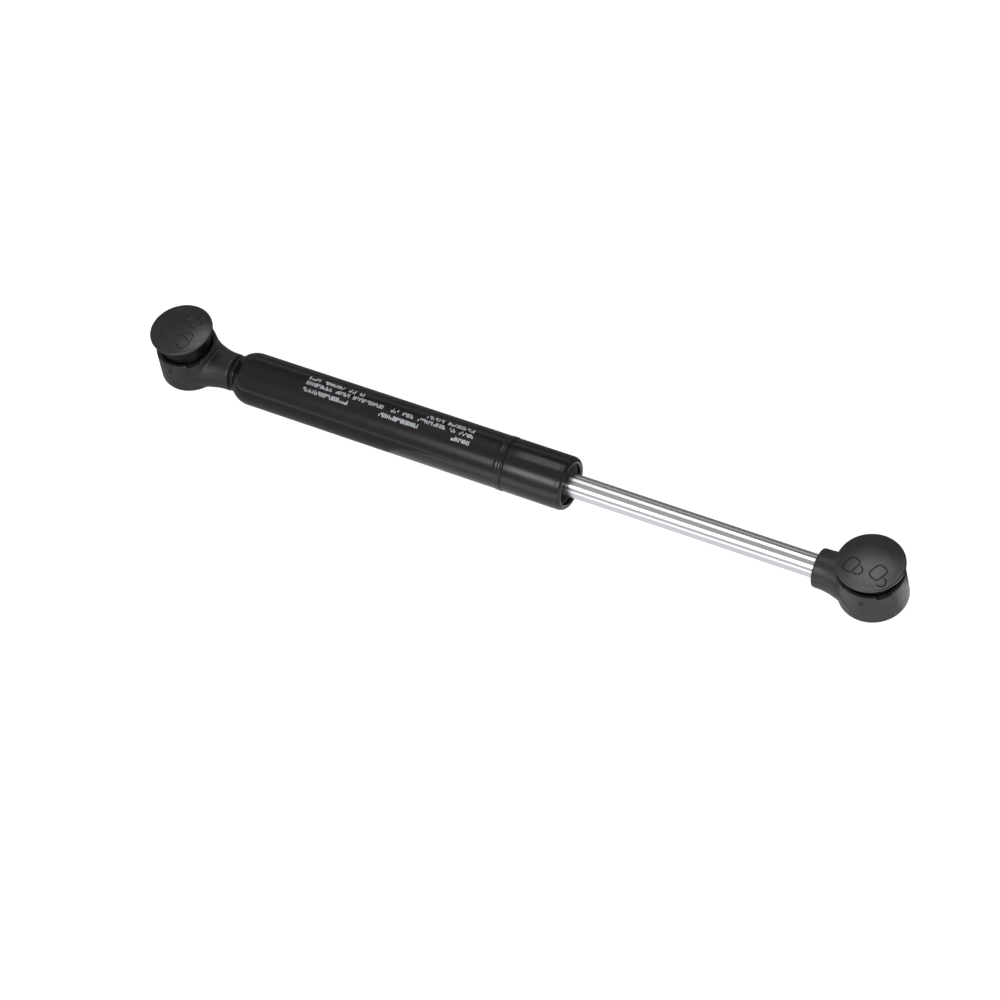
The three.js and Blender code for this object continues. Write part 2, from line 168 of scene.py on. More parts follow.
def fillet(corner, before, after, size, steps=4):
    """Points that round a profile's corner, between two neighbouring points."""
    corner, before, after = (np.array(p, float) for p in (corner, before, after))
    start = corner + (before - corner) / np.linalg.norm(before - corner) * size
    end = corner + (after - corner) / np.linalg.norm(after - corner) * size
    shares = np.linspace(0, 1, steps + 1)
    return [list((1 - t) ** 2 * start + 2 * t * (1 - t) * corner + t ** 2 * end) for t in shares]


def rounded(profile, sizes, closes=True):
    """Rounds the corners of a profile. sizes gives each corner's size, and 0 leaves it sharp."""
    made = []
    count = len(profile)
    for i, (point, size) in enumerate(zip(profile, sizes)):
        at_end = not closes and i in (0, count - 1)
        if size == 0 or at_end:
            made.append(list(point))
        else:
            made += fillet(point, profile[i - 1], profile[(i + 1) % count], size)
    return made


def apply_modifiers(piece):
    """Leaves the piece with the mesh that its modifiers make."""
    graph = bpy.context.evaluated_depsgraph_get()
    mesh = bpy.data.meshes.new_from_object(piece.evaluated_get(graph))
    piece.modifiers.clear()
    piece.data = mesh


def combine(piece, cutter, operation):
    """Joins a cutter to the piece or cuts it away, and removes the cutter."""
    change = piece.modifiers.new("change", "BOOLEAN")
    change.object = cutter
    change.operation = operation
    change.solver = "EXACT"
    bpy.context.view_layer.update()
    apply_modifiers(piece)
    bpy.data.objects.remove(cutter)


def vertices_of(piece):
    flat = np.empty(len(piece.data.vertices) * 3)
    piece.data.vertices.foreach_get("co", flat)
    return flat.reshape(-1, 3)


def set_vertices(piece, points):
    piece.data.vertices.foreach_set("co", np.asarray(points, float).ravel())
    piece.data.update()


def half_turn_about_z(piece):
    """Turns a rod-end piece to face the cylinder, at its own ball centre."""
    piece.data.transform(Matrix.Translation((BALL_TO_BALL, 0, 0)) @ Matrix.Rotation(math.pi, 4, "Z"))


# ---------------------------------------------------------------- node helpers

class Nodes:
    """A material's nodes, with short calls for the ones used here."""

    def __init__(self, name):
        self.material = bpy.data.materials.new(name)
        self.material.use_nodes = True
        self.tree = self.material.node_tree
        self.shader = self.tree.nodes["Principled BSDF"]
        place = self.tree.nodes.new("ShaderNodeTexCoord")
        self.place = place.outputs["Object"]

    def link(self, output, socket):
        self.tree.links.new(output, socket)

    def stretched(self, scale):
        """The piece's own coordinates in millimetres, times a scale for each axis."""
        mapping = self.tree.nodes.new("ShaderNodeMapping")
        mapping.inputs["Scale"].default_value = [s / MM for s in scale]
        self.link(self.place, mapping.inputs["Vector"])
        return mapping.outputs["Vector"]

    def noise(self, per_mm, detail=3.0, roughness=0.5, stretch=(1, 1, 1)):
        texture = self.tree.nodes.new("ShaderNodeTexNoise")
        texture.inputs["Scale"].default_value = per_mm
        texture.inputs["Detail"].default_value = detail
        texture.inputs["Roughness"].default_value = roughness
        self.link(self.stretched(stretch), texture.inputs["Vector"])
        return texture.outputs["Fac"]

    def spots(self, per_mm):
        texture = self.tree.nodes.new("ShaderNodeTexVoronoi")
        texture.inputs["Scale"].default_value = per_mm
        self.link(self.stretched((1, 1, 1)), texture.inputs["Vector"])
        return texture.outputs["Distance"]

    def spread(self, value, low, high, from_low=0.3, from_high=0.7):
        """Maps a texture's usual range on to another range."""
        node = self.tree.nodes.new("ShaderNodeMapRange")
        node.inputs["From Min"].default_value = from_low
        node.inputs["From Max"].default_value = from_high
        node.inputs["To Min"].default_value = low
        node.inputs["To Max"].default_value = high
        self.link(value, node.inputs["Value"])
        return node.outputs["Result"]

    def between(self, value, first, second, low=0.3, high=0.7):
        """A colour between two, as a value goes from low to high."""
        ramp = self.tree.nodes.new("ShaderNodeValToRGB")
        ramp.color_ramp.elements[0].color = (*first, 1)
        ramp.color_ramp.elements[1].color = (*second, 1)
        ramp.color_ramp.elements[0].position = low
        ramp.color_ramp.elements[1].position = high
        self.link(value, ramp.inputs["Fac"])
        return ramp.outputs["Color"]

    def lighter(self, colour, other):
        """The lighter of two colours, channel by channel."""
        mix = self.tree.nodes.new("ShaderNodeMix")
        mix.data_type = "RGBA"
        mix.blend_type = "LIGHTEN"
        mix.inputs["Factor"].default_value = 1.0
        self.link(colour, mix.inputs["A"])
        self.link(other, mix.inputs["B"])
        return mix.outputs["Result"]

    def bump(self, *layers):
        """Stacks height textures, each as (texture, height in millimetres)."""
        normal = None
        for height, millimetres in layers:
            node = self.tree.nodes.new("ShaderNodeBump")
            node.inputs["Distance"].default_value = millimetres * MM
            self.link(height, node.inputs["Height"])
            if normal is not None:
                self.link(normal, node.inputs["Normal"])
            normal = node.outputs["Normal"]
        self.link(normal, self.shader.inputs["Normal"])

    def colour(self, output):
        self.link(output, self.shader.inputs["Base Color"])

    def gloss(self, output):
        self.link(output, self.shader.inputs["Roughness"])

    def fixed(self, **values):
        for name, value in values.items():
            self.shader.inputs[name.replace("_", " ")].default_value = value


# ---------------------------------------------------------------- materials

def satin_black_paint():
    """Baked enamel on drawn tube: faint orange peel and lengthwise draw lines."""
    made = Nodes("satin_black_paint")
    made.colour(made.between(made.noise(0.12), (0.0070, 0.0052, 0.0044), (0.0105, 0.0080, 0.0069)))
    made.gloss(made.spread(made.noise(0.35, detail=5), 0.17, 0.24))
    peel = made.noise(1.1, detail=2)
    draw_lines = made.noise(2.2, detail=2, stretch=(0.03, 1, 1))
    made.bump((peel, 0.0030), (draw_lines, 0.0012))
    return made.material


def print_ink():
    """Pad-printed ink that is thin enough to let some of the paint through."""
    made = Nodes("print_ink")
    made.colour(made.between(made.noise(2.5, detail=4), (0.50, 0.54, 0.58), (0.74, 0.77, 0.80)))
    made.gloss(made.spread(made.noise(1.5), 0.45, 0.6))
    made.bump((made.noise(6), 0.004))
    return made.material


def hard_chrome():
    """Ground chrome plate. Its very fine lines run round the rod, so reflections smear along the rod."""
    made = Nodes("hard_chrome")
    made.colour(made.between(made.noise(0.08), (0.86, 0.865, 0.875), (0.90, 0.90, 0.905)))
    made.gloss(made.spread(made.noise(1.2, detail=5), 0.20, 0.235))
    made.bump((made.noise(9, detail=2, stretch=(1, 0.05, 0.05)), 0.00003))
    round_the_rod = made.tree.nodes.new("ShaderNodeTangent")
    round_the_rod.direction_type = "RADIAL"
    round_the_rod.axis = "X"
    made.link(round_the_rod.outputs["Tangent"], made.shader.inputs["Tangent"])
    made.fixed(Metallic=1.0, Anisotropic=0.9, Anisotropic_Rotation=0.25)
    return made.material


def moulded_nylon(name, dark, pale, roughness, grain, shine=0.5):
    """Glass-filled nylon: mottled black with specks of dust. grain is its texture's height in millimetres."""
    made = Nodes(name)
    mottle = made.between(made.noise(0.22, detail=6, roughness=0.6), dark, pale)
    dust_colour = [2.4 * c for c in pale]
    dust = made.between(made.noise(1.5, detail=8, roughness=0.75), dark, dust_colour, 0.50, 0.76)
    made.colour(made.lighter(mottle, dust))
    made.gloss(made.spread(made.noise(0.6, detail=6), *roughness))
    made.bump((made.noise(5.5, detail=3, roughness=0.6), grain), (made.spots(3.2), grain / 2))
    made.fixed(Specular_IOR_Level=shine)
    return made.material


def guide_plastic():
    made = Nodes("guide_plastic")
    made.colour(made.between(made.noise(0.4), (0.0030, 0.0028, 0.0026), (0.0052, 0.0048, 0.0044)))
    made.gloss(made.spread(made.noise(1.0), 0.40, 0.55))
    made.bump((made.noise(3, detail=3), 0.006))
    return made.material


def turned_steel():
    made = Nodes("turned_steel")
    made.colour(made.between(made.noise(0.3), (0.42, 0.43, 0.44), (0.56, 0.57, 0.58)))
    made.gloss(made.spread(made.noise(0.7, detail=4), 0.26, 0.40))
    made.bump((made.noise(8, detail=2, stretch=(1, 0.1, 0.1)), 0.003))
    made.fixed(Metallic=1.0)
    return made.material


def sintered_bronze():
    made = Nodes("sintered_bronze")
    made.colour(made.between(made.noise(0.9, detail=5), (0.44, 0.30, 0.12), (0.60, 0.44, 0.20)))
    made.gloss(made.spread(made.noise(2.0, detail=4), 0.30, 0.46))
    made.bump((made.spots(4.0), 0.006))
    made.fixed(Metallic=1.0)
    return made.material


def white_acetal():
    made = Nodes("white_acetal")
    made.colour(made.between(made.noise(0.25), (0.62, 0.60, 0.55), (0.72, 0.70, 0.65)))
    made.gloss(made.spread(made.noise(0.9, detail=4), 0.34, 0.46))
    made.bump((made.noise(3.5), 0.006))
    return made.material


def seal_rubber():
    made = Nodes("seal_rubber")
    made.colour(made.between(made.noise(0.8), (0.009, 0.009, 0.009), (0.016, 0.016, 0.016)))
    made.gloss(made.spread(made.noise(1.3), 0.6, 0.75))
    made.bump((made.noise(5, detail=3), 0.008))
    return made.material


def studio_paper():
    """White paper on a lit table, so that it stays white round the strut and takes only a faint shadow."""
    made = Nodes("studio_paper")
    made.colour(made.between(made.noise(0.02), (0.79, 0.79, 0.795), (0.80, 0.80, 0.805)))
    made.gloss(made.spread(made.noise(0.05), 0.85, 0.95))
    made.bump((made.noise(1.5), 0.01))
    made.fixed(Specular_IOR_Level=0.1, Emission_Color=(1, 1, 1, 1), Emission_Strength=0.74)
    return made.material


paint = satin_black_paint()
ink = print_ink()
chrome = hard_chrome()
nylon = moulded_nylon(
    "housing_nylon",
    dark=(0.010, 0.0102, 0.0106),
    pale=(0.029, 0.0294, 0.0303),
    roughness=(0.31, 0.46),
    grain=0.016,
)
cap_nylon = moulded_nylon(
    "cap_nylon",
    dark=(0.0040, 0.0040, 0.0042),
    pale=(0.0075, 0.0076, 0.0080),
    roughness=(0.26, 0.33),
    grain=0.006,
    shine=1.0,
)
# The skirt's nylon is a darker, less shiny copy of the cap nylon. Its smoother gloss is its own, but its
# darker colour and weaker shine are painted shade for the gap between the cap rim and the housing.
skirt_nylon_painted_shade = moulded_nylon(
    "skirt_nylon_painted_shade",
    dark=(0.002, 0.002, 0.002),
    pale=(0.004, 0.004, 0.004),
    roughness=(0.20, 0.28),
    grain=0.002,
    shine=0.3,
)
guide_black = guide_plastic()
steel = turned_steel()
bronze = sintered_bronze()
acetal = white_acetal()
rubber = seal_rubber()


# ---------------------------------------------------------------- cylinder

def tube_profile():
    """The tube's whole section: spun shoulder, rolled beads and groove, scored line and rolled mouth."""
    closed_end_radius = 6.2 * MM
    shoulder_length = 5.4 * MM
    shoulder_power = 1.8
    mouth_radius = 7.1 * MM
    lip_length = 2.0 * MM
    groove_x = tube_high.x - 22.0 * MM
    bore = TUBE_RADIUS - TUBE_WALL

    def shoulder(start_radius, end_radius, start, end):
        share = 1 - np.cos(np.linspace(0, math.pi / 2, 25))
        rise = (1 - (1 - share) ** shoulder_power) ** (1 / shoulder_power)
        return [[start + s * (end - start), start_radius + r * (end_radius - start_radius)]
                for s, r in zip(share, rise)]

    def rolled(offset):
        """Height of the two rolled beads and the groove beside them, at an offset from the groove."""
        beads = sum(math.exp(-((offset + place) / (0.44 * MM)) ** 2) for place in (0.95 * MM, 2.15 * MM))
        groove = 0.42 * MM * math.exp(-(offset / (0.34 * MM)) ** 2)
        return 0.93 * BEAD_HEIGHT * beads - groove

    shoulder_end = tube_low.x + shoulder_length
    outside = shoulder(closed_end_radius, TUBE_RADIUS, tube_low.x, shoulder_end)
    outside += [[x, TUBE_RADIUS] for x in np.linspace(shoulder_end, groove_x - 4 * MM, 12)[1:]]
    for offset in np.linspace(-3.8 * MM, 2.0 * MM, 75):
        outside.append([groove_x + offset, TUBE_RADIUS + rolled(offset)])
    roll_start = tube_high.x - lip_length
    outer_depth = 1.35 * MM
    inner_depth = TUBE_RADIUS - outer_depth - mouth_radius
    crown = TUBE_RADIUS - outer_depth
    score_bottom = TUBE_RADIUS - 0.07 * MM
    outside += [[roll_start - 0.34 * MM, TUBE_RADIUS], [roll_start - 0.20 * MM, score_bottom]]
    outside += [[roll_start - 0.12 * MM, score_bottom]]
    outside += ellipse_arc([roll_start, crown], [lip_length, outer_depth], 90, 0, 18)
    outside += ellipse_arc([tube_high.x - inner_depth, crown], [inner_depth, inner_depth], 0, -90, 8)[1:]
    inside = [
        [tube_high.x - TUBE_WALL - 0.2 * MM, mouth_radius],
        [tube_high.x - TUBE_WALL - 0.3 * MM, bore],
        [groove_x + 1.4 * MM, bore],
        [groove_x + 0.6 * MM, bore - 0.5 * MM],
        [groove_x - 0.6 * MM, bore - 0.5 * MM],
        [groove_x - 1.4 * MM, bore],
    ]
    inner_shoulder = shoulder(closed_end_radius - TUBE_WALL, bore, tube_low.x + TUBE_WALL, shoulder_end)
    inside += inner_shoulder[::-1]
    inside.append([tube_low.x, closed_end_radius - TUBE_WALL])
    return outside + inside


def tube_skin():
    made = shade(lathe("tube_skin", tube_profile(), 192), 40)
    made.data.materials.append(paint)
    return made


# Rows of the printed block: the angle of a row's middle from +Z towards -Y, in degrees, and where its
# groups of ticks start and end, in millimetres from the block's start.
PRINT_ROWS = {
    -12.5: [(0.0, 4.6), (6.2, 14.0), (15.6, 18.4), (19.8, 22.0), (46.0, 52.6), (54.0, 64.5)],
    1.5: [
        (0.0, 10.2), (11.6, 17.0), (18.4, 30.6), (33.2, 36.0),
        (37.6, 42.0), (43.6, 54.2), (55.6, 58.0), (59.4, 64.8),
    ],
    18.0: [(0.0, 17.5), (29.7, 45.0), (57.5, 64.7)],
}


def print_marks():
    """Short upright ticks in rows, as thin ink on the tube. They stand for print and spell nothing."""
    chance = random.Random(PRINT_SEED)
    block_start = tube_low.x + 28.3 * MM
    row_height = 9.6
    tick_width = 0.36 * MM
    pitch = 0.62 * MM
    parts_of_row = [(0, 1), (0, 1), (0, 1), (0.1, 0.9), (0, 0.55), (0.45, 1)]
    base = TUBE_RADIUS - 0.004 * MM
    top = TUBE_RADIUS + 0.010 * MM
    points = []
    faces = []
    for middle, groups in PRINT_ROWS.items():
        for start, end in groups:
            x = block_start + start * MM
            while x + tick_width < block_start + end * MM:
                low, high = chance.choice(parts_of_row)
                width = tick_width * chance.uniform(0.8, 1.3)
                first = math.radians(middle + row_height * (0.5 - high))
                last = math.radians(middle + row_height * (0.5 - low))
                add_tick(points, faces, (x, x + width), (first, last), (base, top))
                x += pitch * chance.choice([1, 1, 1, 1.3])
    made = mesh_object("tube_print", points, faces)
    outward(made)
    made.data.materials.append(ink)
    return made


def add_tick(points, faces, along, turns, radii):
    """One curved slab on the tube: closed, with three steps round the tube."""
    steps = 3
    first = len(points)
    for turn in np.linspace(turns[0], turns[1], steps + 1):
        for radius in radii:
            for x in along:
                points.append((x, -radius * math.sin(turn), radius * math.cos(turn)))
    for i in range(steps):
        a = first + 4 * i
        b = a + 4
        faces += [(a, a + 1, b + 1, b), (a + 2, b + 2, b + 3, a + 3)]
        faces += [(a, b, b + 2, a + 2), (a + 1, a + 3, b + 3, b + 1)]
    last = first + 4 * steps
    faces += [(first, first + 2, first + 3, first + 1), (last, last + 1, last + 3, last + 2)]


def collar_skin():
    """The washer between the blind end and the socket's neck."""
    outer = collar_high.y
    bore = ROD_RADIUS + 0.35 * MM
    profile = [[collar_low.x, bore], [collar_low.x, outer], [collar_high.x, outer], [collar_high.x, bore]]
    made = shade(lathe("collar_skin", rounded(profile, [0, 0.25 * MM, 0.25 * MM, 0]), 128), 40)
    made.data.materials.append(paint)
    return made


def guide_skin():
    """The rod guide, with the dished face that shows in the tube's mouth."""
    outer = guide_high.y
    bore = ROD_RADIUS + 0.15 * MM
    bush_bore = 5.6 * MM
    groove_start = guide_low.x + 2.8 * MM
    groove_end = groove_start + 2 * MM
    groove_bottom = 6.6 * MM
    face = guide_high.x
    dish = face - 2.4 * MM
    bush_end = dish - 0.6 * MM
    profile = [
        [guide_low.x, bush_bore],
        [guide_low.x, outer],
        [groove_start, outer],
        [groove_start, groove_bottom],
        [groove_end, groove_bottom],
        [groove_end, outer],
        [face, outer],
        [face, 6.6 * MM],
        [dish, 5.3 * MM],
        [dish, bore],
        [bush_end, bore],
        [bush_end, bush_bore],
    ]
    sizes = [0, 0, 0, 0, 0, 0, 0.4 * MM, 0.3 * MM, 0.3 * MM, 0.1 * MM, 0, 0]
    made = shade(lathe("guide_skin", rounded(profile, sizes), 128), 40)
    made.data.materials.append(guide_black)
    return made


# ---------------------------------------------------------------- piston rod

def rod_skin():
    """The chromed rod, with its spigot inside the cylinder and its threaded end in the socket."""
    spigot = 3 * MM
    thread = 3.85 * MM
    shoulder_x = rod_low.x + 14.7 * MM
    thread_start = rod_high.x - 6.8 * MM
    profile = [[rod_low.x, 0], [rod_low.x, spigot], [shoulder_x, spigot], [shoulder_x, ROD_RADIUS - 0.3 * MM]]
    profile.append([shoulder_x + 0.3 * MM, ROD_RADIUS])
    profile += [[x, ROD_RADIUS] for x in np.linspace(shoulder_x + 2 * MM, thread_start - 0.3 * MM, 24)]
    profile += thread_profile(thread_start, rod_high.x - 0.6 * MM, thread)
    profile += [[rod_high.x, thread - 0.6 * MM], [rod_high.x, 0]]
    made = shade(lathe("rod_skin", profile, 160), 30)
    made.data.materials.append(chrome)
    return made


def thread_profile(start, end, crest, pitch=1.25 * MM):
    """Ring-shaped thread grooves between two stations."""
    made = [[start, crest]]
    depth = 0.35 * MM
    count = int((end - start) / pitch)
    for i in range(count):
        x = start + (i + 0.5) * (end - start) / count
        made += [[x - 0.35 * pitch, crest], [x, crest - depth], [x + 0.35 * pitch, crest]]
    made.append([end, crest])
    return made


# ---------------------------------------------------------------- ball sockets

def smooth_min(a, b, reach):
    """The smaller of two distances, rounded where they come within reach of each other."""
    share = np.clip(1 - np.abs(a - b) / reach, 0, None)
    return np.minimum(a, b) - share ** 2 * reach / 4


def smooth_max(a, b, reach):
    return -smooth_min(-a, -b, reach)


def smooth_curve(stations, values):
    """A curve through the given values that bends smoothly and has no steps."""
    stations = np.array(stations, float)
    values = np.array(values, float)
    slopes = np.gradient(values, stations)

    def at(x):
        x = np.clip(x, stations[0], stations[-1])
        i = np.clip(np.searchsorted(stations, x) - 1, 0, len(stations) - 2)
        step = stations[i + 1] - stations[i]
        t = (x - stations[i]) / step
        bend = (2 * t ** 3 - 3 * t ** 2 + 1) * values[i] + (3 * t ** 2 - 2 * t ** 3) * values[i + 1]
        lean = (t ** 3 - 2 * t ** 2 + t) * slopes[i] + (t ** 3 - t ** 2) * slopes[i + 1]
        return bend + lean * step

    return at


WEB_STATIONS = [3 * MM, 6 * MM, 8 * MM, 10.4 * MM, 12.6 * MM, 15 * MM, NECK_END]
WEB_HALF_WIDTH = smooth_curve(WEB_STATIONS, [w * MM for w in (10.4, 9.7, 8.7, 7.8, 7.1, 6.65, 6.55)])
WEB_UP = smooth_curve(WEB_STATIONS, [h * MM for h in (6.2, 6.3, 6.4, 6.5, 6.55, 6.55, 6.55)])
WEB_DOWN = smooth_curve(WEB_STATIONS, [h * MM for h in (4.6, 5.7, 6.5, 6.8, 6.75, 6.6, 6.55)])


def housing_distance(points):
    """About how far points are outside a housing's outer shape. It is negative inside."""
    x, y, z = points.T
    rise = np.clip((z - BODY_BOTTOM) / (BODY_TOP - BODY_BOTTOM), -0.2, 1.2)
    wall = np.hypot(x, y) - (BODY_BOTTOM_RADIUS + rise * (BODY_TOP_RADIUS - BODY_BOTTOM_RADIUS))
    body = smooth_max(wall, BODY_BOTTOM - z, 1.0 * MM)
    body = smooth_max(body, z - BODY_TOP, 0.45 * MM)
    half_width = WEB_HALF_WIDTH(x)
    half_height = np.where(z > 0, WEB_UP(x), WEB_DOWN(x))
    share = np.sqrt((y / half_width) ** 2 + (z / half_height) ** 2)
    neck = (share - 1) * np.minimum(half_width, half_height)
    neck = smooth_max(neck, x - NECK_END, 0.9 * MM)
    neck = smooth_max(neck, 3 * MM - x, 0.5 * MM)
    return smooth_min(body, neck, 0.5 * MM)


def pull_to_surface(points, distance, rounds=5):
    """Moves points on to the surface where the distance is nought."""
    step = 0.01 * MM
    for _ in range(rounds):
        here = distance(points)
        slope = np.stack([
            (distance(points + step * axis) - distance(points - step * axis)) / (2 * step)
            for axis in np.eye(3)
        ], axis=1)
        steep = np.maximum((slope ** 2).sum(1), 0.05)
        points = points - (here / steep)[:, None] * slope
    return points


def outer_housing(name):
    """The blended outer shape of a housing, as an even mesh."""
    body = lathe(name, [
        [BODY_BOTTOM, 0],
        [BODY_BOTTOM, BODY_BOTTOM_RADIUS - 0.4 * MM],
        [BODY_TOP, BODY_TOP_RADIUS - 0.1 * MM],
        [BODY_TOP, 0],
    ], 96, "z")
    neck = lathe("neck", [[0, 0], [0, NECK_RADIUS], [NECK_END, NECK_RADIUS], [NECK_END, 0]], 96)
    places = vertices_of(neck)
    places[:, 1] *= np.where(places[:, 0] < 1 * MM, 1.4, 1.0)
    set_vertices(neck, places)
    combine(body, neck, "UNION")
    even = body.modifiers.new("even", "REMESH")
    even.mode = "VOXEL"
    even.voxel_size = 0.26 * MM
    apply_modifiers(body)
    set_vertices(body, pull_to_surface(vertices_of(body), housing_distance))
    return body


def housing_skin(name):
    """A moulded housing: the outer shape less its socket, its bore, its notches and its mould marks."""
    made = outer_housing(name)
    cup_seat = cup_low.z - 0.3 * MM
    cup_space = cup_high.y + 0.3 * MM
    channel_floor = -1.2 * MM
    channel_radius = 9.75 * MM
    lip_radius = 9.3 * MM
    lip_base = BODY_TOP - 1.2 * MM
    well = lathe("well", [
        [BODY_BOTTOM - 1 * MM, 0],
        [BODY_BOTTOM - 1 * MM, 6.9 * MM],
        [BODY_BOTTOM + 0.5 * MM, 5.4 * MM],
        [cup_seat, 5.4 * MM],
        [cup_seat, cup_space],
        [channel_floor, cup_space],
        [channel_floor, channel_radius],
        [lip_base, channel_radius],
        [lip_base + 0.3 * MM, lip_radius],
        [BODY_TOP - 0.25 * MM, lip_radius],
        [BODY_TOP + 0.25 * MM, lip_radius + 0.5 * MM],
        [BODY_TOP + 1 * MM, lip_radius + 0.5 * MM],
        [BODY_TOP + 1 * MM, 0],
    ], 128, "z")
    combine(made, well, "DIFFERENCE")
    bore_start = 10.3 * MM
    lip = 1.1 * MM
    bore = lathe("bore", [
        [bore_start, 0],
        [bore_start, 5.7 * MM],
        [NECK_END - lip, 5.7 * MM],
        [NECK_END - lip, 4.35 * MM],
        [NECK_END + 1 * MM, 4.35 * MM],
        [NECK_END + 1 * MM, 0],
    ], 96)
    combine(made, bore, "DIFFERENCE")
    for degrees in (45, -45):
        combine(made, notch_bar(degrees), "DIFFERENCE")
    combine(made, mould_mark_cutter(), "DIFFERENCE")
    shade(made, 38)
    made.data.materials.append(nylon)
    return made


def box_object(name, low, high):
    corners = [(x, y, z) for x in (low[0], high[0]) for y in (low[1], high[1]) for z in (low[2], high[2])]
    faces = [(0, 1, 3, 2), (4, 6, 7, 5), (0, 4, 5, 1), (2, 3, 7, 6), (0, 2, 6, 4), (1, 5, 7, 3)]
    return mesh_object(name, corners, faces)


def notch_bar(degrees):
    """A bar across the rim, at an angle from +X, that cuts one pair of release notches."""
    half_width = 2.5 * MM
    depth = 0.8 * MM
    reach = BODY_BOTTOM_RADIUS + 1 * MM
    low = (-half_width, -reach, BODY_TOP - depth)
    high = (half_width, reach, BODY_TOP + 1 * MM)
    made = box_object("notch", low, high)
    made.data.transform(Matrix.Rotation(math.radians(degrees), 4, "Z"))
    return made


def mould_mark_cutter():
    """Two small ring-shaped ejector marks, one on each side of the body."""
    mark_place = Matrix.Translation((-0.8 * MM, 0, 5.0 * MM))
    wall_at_mark = BODY_BOTTOM_RADIUS - 0.62 * MM
    reach = BODY_BOTTOM_RADIUS + 1 * MM
    depth = 0.30 * MM
    outer = 0.75 * MM
    inner = 0.34 * MM
    made = None
    for side in (-1, 1):
        bottom = side * (wall_at_mark - depth)
        top = side * reach
        mark = lathe("mark", [[bottom, inner], [bottom, outer], [top, outer], [top, inner]], 32)
        mark.data.transform(mark_place @ Matrix.Rotation(math.pi / 2, 4, "Z"))
        outward(mark)
        if made is None:
            made = mark
        else:
            combine(made, mark, "UNION")
    return made


CAP_RADIUS = 11 * MM
CAP_DOME = 1.3 * MM


def dome_height(radius):
    return CAP_DOME * (1 - (radius / CAP_RADIUS) ** 2)


def cap_skin(name, node, icon_turn):
    """A locking cap: thin domed rim, plain skirt, and moulded marks on the dome."""
    low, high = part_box(node)
    rim = high.z - CAP_DOME
    underside = rim - 1.0 * MM
    skirt_end = low.z
    skirt = 9.05 * MM
    skirt_bore = 7.4 * MM
    dome = [[rim + dome_height(r), r] for r in np.linspace(0, CAP_RADIUS - 0.7 * MM, 22)]
    edge_start = dome[-1]
    edge = [
        [rim - 0.05 * MM, CAP_RADIUS],
        [underside + 0.35 * MM, CAP_RADIUS],
        [underside, CAP_RADIUS - 0.35 * MM],
    ]
    profile = dome[:-1]
    profile += fillet([rim + 0.12 * MM, CAP_RADIUS], edge_start, edge[1], 0.42 * MM, 5)
    profile += fillet(edge[1], edge[0], edge[2], 0.12 * MM, 2)
    profile += fillet(edge[2], edge[1], [underside, skirt], 0.12 * MM, 2)
    profile += [
        [underside, skirt + 0.25 * MM],
        [underside - 0.25 * MM, skirt],
        [skirt_end + 1.1 * MM, skirt],
        [skirt_end + 0.8 * MM, skirt + 0.4 * MM],
        [skirt_end + 0.1 * MM, skirt + 0.4 * MM],
        [skirt_end, skirt + 0.3 * MM],
        [skirt_end, skirt_bore],
        [underside + 0.4 * MM, skirt_bore],
        [underside + 0.9 * MM, 0],
    ]
    made = lathe(name, profile, 160, "z")
    cutter = moulded_marks(rim)
    cutter.data.transform(Matrix.Rotation(icon_turn, 4, "Z"))
    combine(made, cutter, "DIFFERENCE")
    shade(made, 30)
    made.data.materials.append(cap_nylon)
    made.data.materials.append(skirt_nylon_painted_shade)
    # Faces on the skirt take the darker copy, so the shade of the gap is painted into their colour.
    for face in made.data.polygons:
        centre = face.center
        on_skirt = math.hypot(centre.x, centre.y) < skirt + 0.5 * MM and centre.z < underside + 0.3 * MM
        face.material_index = 1 if on_skirt else 0
    return made


def groove_along(path, closes, rim):
    """A round bar along a path on the dome, half sunk in it, that cuts a shallow groove."""
    bar_radius = 0.24 * MM
    sides = 8
    path = [Vector((x, y, rim + dome_height(math.hypot(x, y)))) for x, y in path]
    count = len(path)
    points = []
    faces = []
    for i, here in enumerate(path):
        before = path[i - 1] if closes or i > 0 else here
        after = path[(i + 1) % count] if closes or i < count - 1 else here
        along = (after - before).normalized()
        across = along.cross(Vector((0, 0, 1))).normalized()
        up = across.cross(along)
        for k in range(sides):
            turn = 2 * math.pi * k / sides
            points.append(here + bar_radius * (math.cos(turn) * across + math.sin(turn) * up))
    for i in range(count if closes else count - 1):
        a = sides * i
        b = sides * ((i + 1) % count)
        for k in range(sides):
            j = (k + 1) % sides
            faces.append((a + k, a + j, b + j, b + k))
    if not closes:
        faces.append(tuple(range(sides))[::-1])
        faces.append(tuple(sides * (count - 1) + k for k in range(sides)))
    return points, faces


def padlock_outline(centre, lean, opened):
    """A generic padlock: a rounded body with a shackle that is shut or swung open."""
    half = 2.6 * MM
    shackle_radius = 1.6 * MM
    shackle_foot = 1.45 * MM
    shackle_middle = 1.7 * MM
    body = []
    for turn in np.linspace(0, 2 * math.pi, 37)[:-1]:
        reach = half / (abs(math.cos(turn)) ** 4 + abs(math.sin(turn)) ** 4) ** 0.25
        body.append((reach * math.cos(turn), 0.75 * reach * math.sin(turn) - 1.1 * MM))
    offset = shackle_radius if opened else 0.0
    shackle = []
    for turn in np.linspace(math.pi, 0, 17):
        x = shackle_radius * math.cos(turn) + offset
        y = 1.1 * shackle_radius * math.sin(turn) + shackle_middle
        shackle.append((x, y))
    shackle.insert(0, (shackle[0][0], shackle_foot))
    if not opened:
        shackle.append((shackle[-1][0], shackle_foot))

    def placed(points):
        c, s = math.cos(lean), math.sin(lean)
        return [(centre[0] + c * x - s * y, centre[1] + s * x + c * y) for x, y in points]

    return [(placed(body), True), (placed(shackle), False)]


